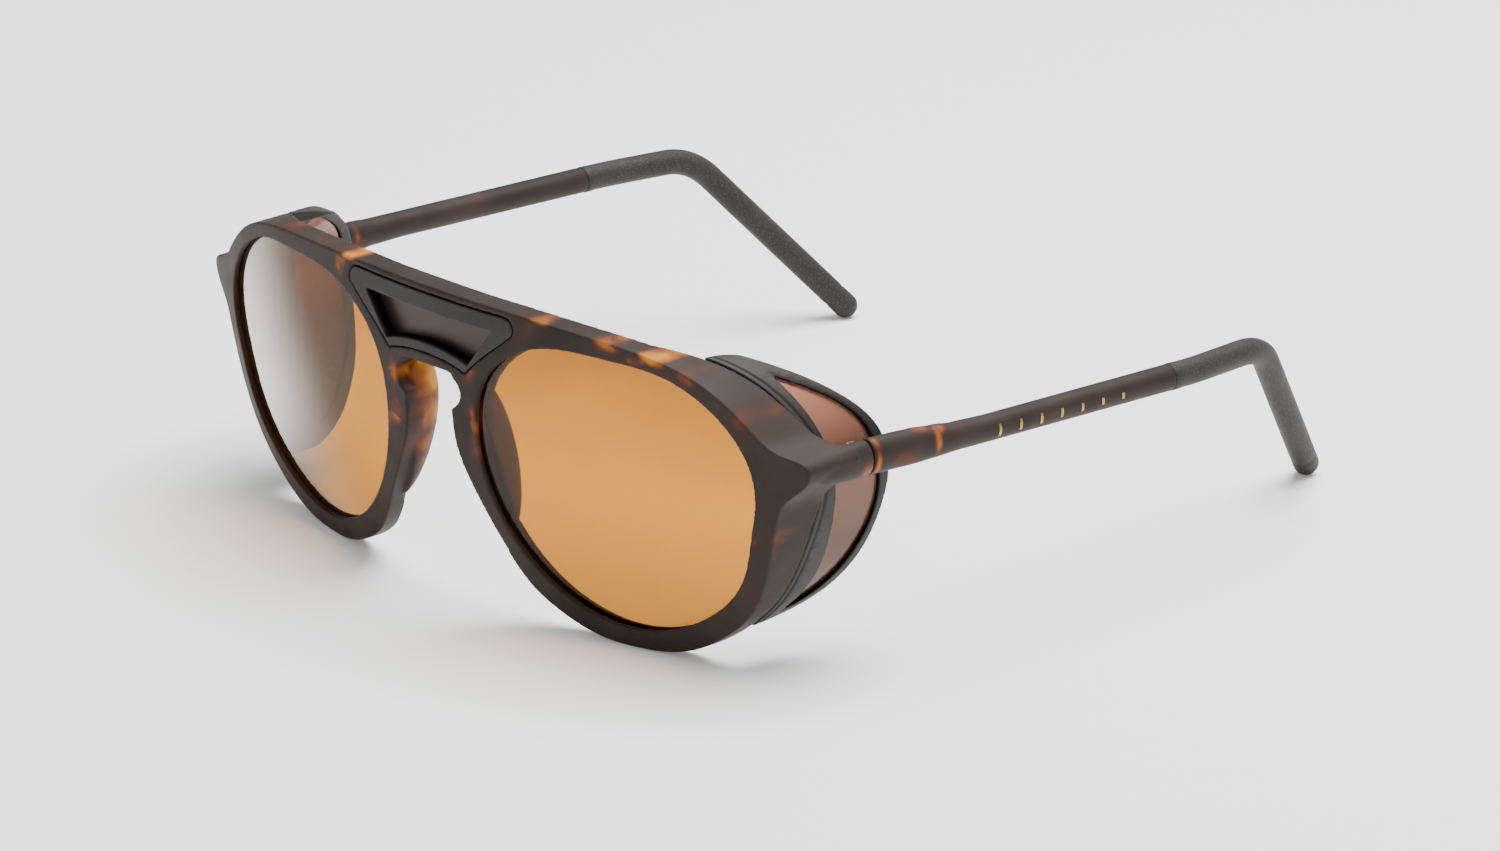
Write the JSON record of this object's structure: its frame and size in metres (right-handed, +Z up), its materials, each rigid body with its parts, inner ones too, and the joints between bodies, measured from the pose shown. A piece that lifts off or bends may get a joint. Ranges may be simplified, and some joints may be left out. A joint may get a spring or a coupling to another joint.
{
  "type": "glacier glasses",
  "caption": "Mountaineering sunglasses with a keyhole bridge, curved amber lenses, rubber side shields with small windows, and folding temples with bent rubber tips.",
  "frame": {"origin": "under the middle of the glasses with the temples open, on the surface that they rest on", "axes": "+X towards the wearer's left, +Y back along the temples, +Z up"},
  "size_m": [0.1446, 0.151, 0.0546],
  "materials": {
    "tortoise": "matt tortoise: dark brown with amber and red patches",
    "amber_lens": "amber, with a light bronze flash mirror",
    "charcoal_rubber": "matt charcoal",
    "copper_window": "copper, lightly mirrored",
    "brown_window": "dark brown, satin",
    "hinge_steel": "plain",
    "sleeve_rubber": "matt, finely speckled",
    "gold_mark": "gilt"
  },
  "bodies": {
    "front": {"front_frame": "tortoise", "bridge_gasket": "charcoal_rubber", "bridge_window": "brown_window", "left_lens": "amber_lens", "left_shield_frame": "charcoal_rubber", "left_shield_window": "copper_window", "left_shield_pegs": "charcoal_rubber", "left_front_hinge": "hinge_steel", "left_front_rivets": "hinge_steel", "left_hinge_screw": "hinge_steel", "right_lens": "amber_lens", "right_shield_frame": "charcoal_rubber", "right_shield_window": "copper_window", "right_shield_pegs": "charcoal_rubber", "right_front_hinge": "hinge_steel", "right_front_rivets": "hinge_steel", "right_hinge_screw": "hinge_steel"},
    "left_arm": {"left_temple": "tortoise", "left_temple_hinge": "hinge_steel", "left_temple_rivets": "hinge_steel", "left_core_wire": "hinge_steel", "left_sleeve": "sleeve_rubber", "left_temple_marks": "gold_mark"},
    "right_arm": {"right_temple": "tortoise", "right_temple_hinge": "hinge_steel", "right_temple_rivets": "hinge_steel", "right_core_wire": "hinge_steel", "right_sleeve": "sleeve_rubber", "right_temple_marks": "gold_mark"}
  },
  "joints": [
    {"name": "left_fold", "type": "hinge", "parent": "front", "child": "left_arm", "pos_m": [0.0656, -0.04412, 0.03532], "axis": [0, 0, 1], "range_deg": [0, 87], "deforming": ["left_shield_frame", "left_shield_window"]},
    {"name": "right_fold", "type": "hinge", "parent": "front", "child": "right_arm", "pos_m": [-0.0656, -0.04412, 0.03532], "axis": [0, 0, -1], "range_deg": [0, 76], "deforming": ["right_shield_frame", "right_shield_window"]}
  ]
}
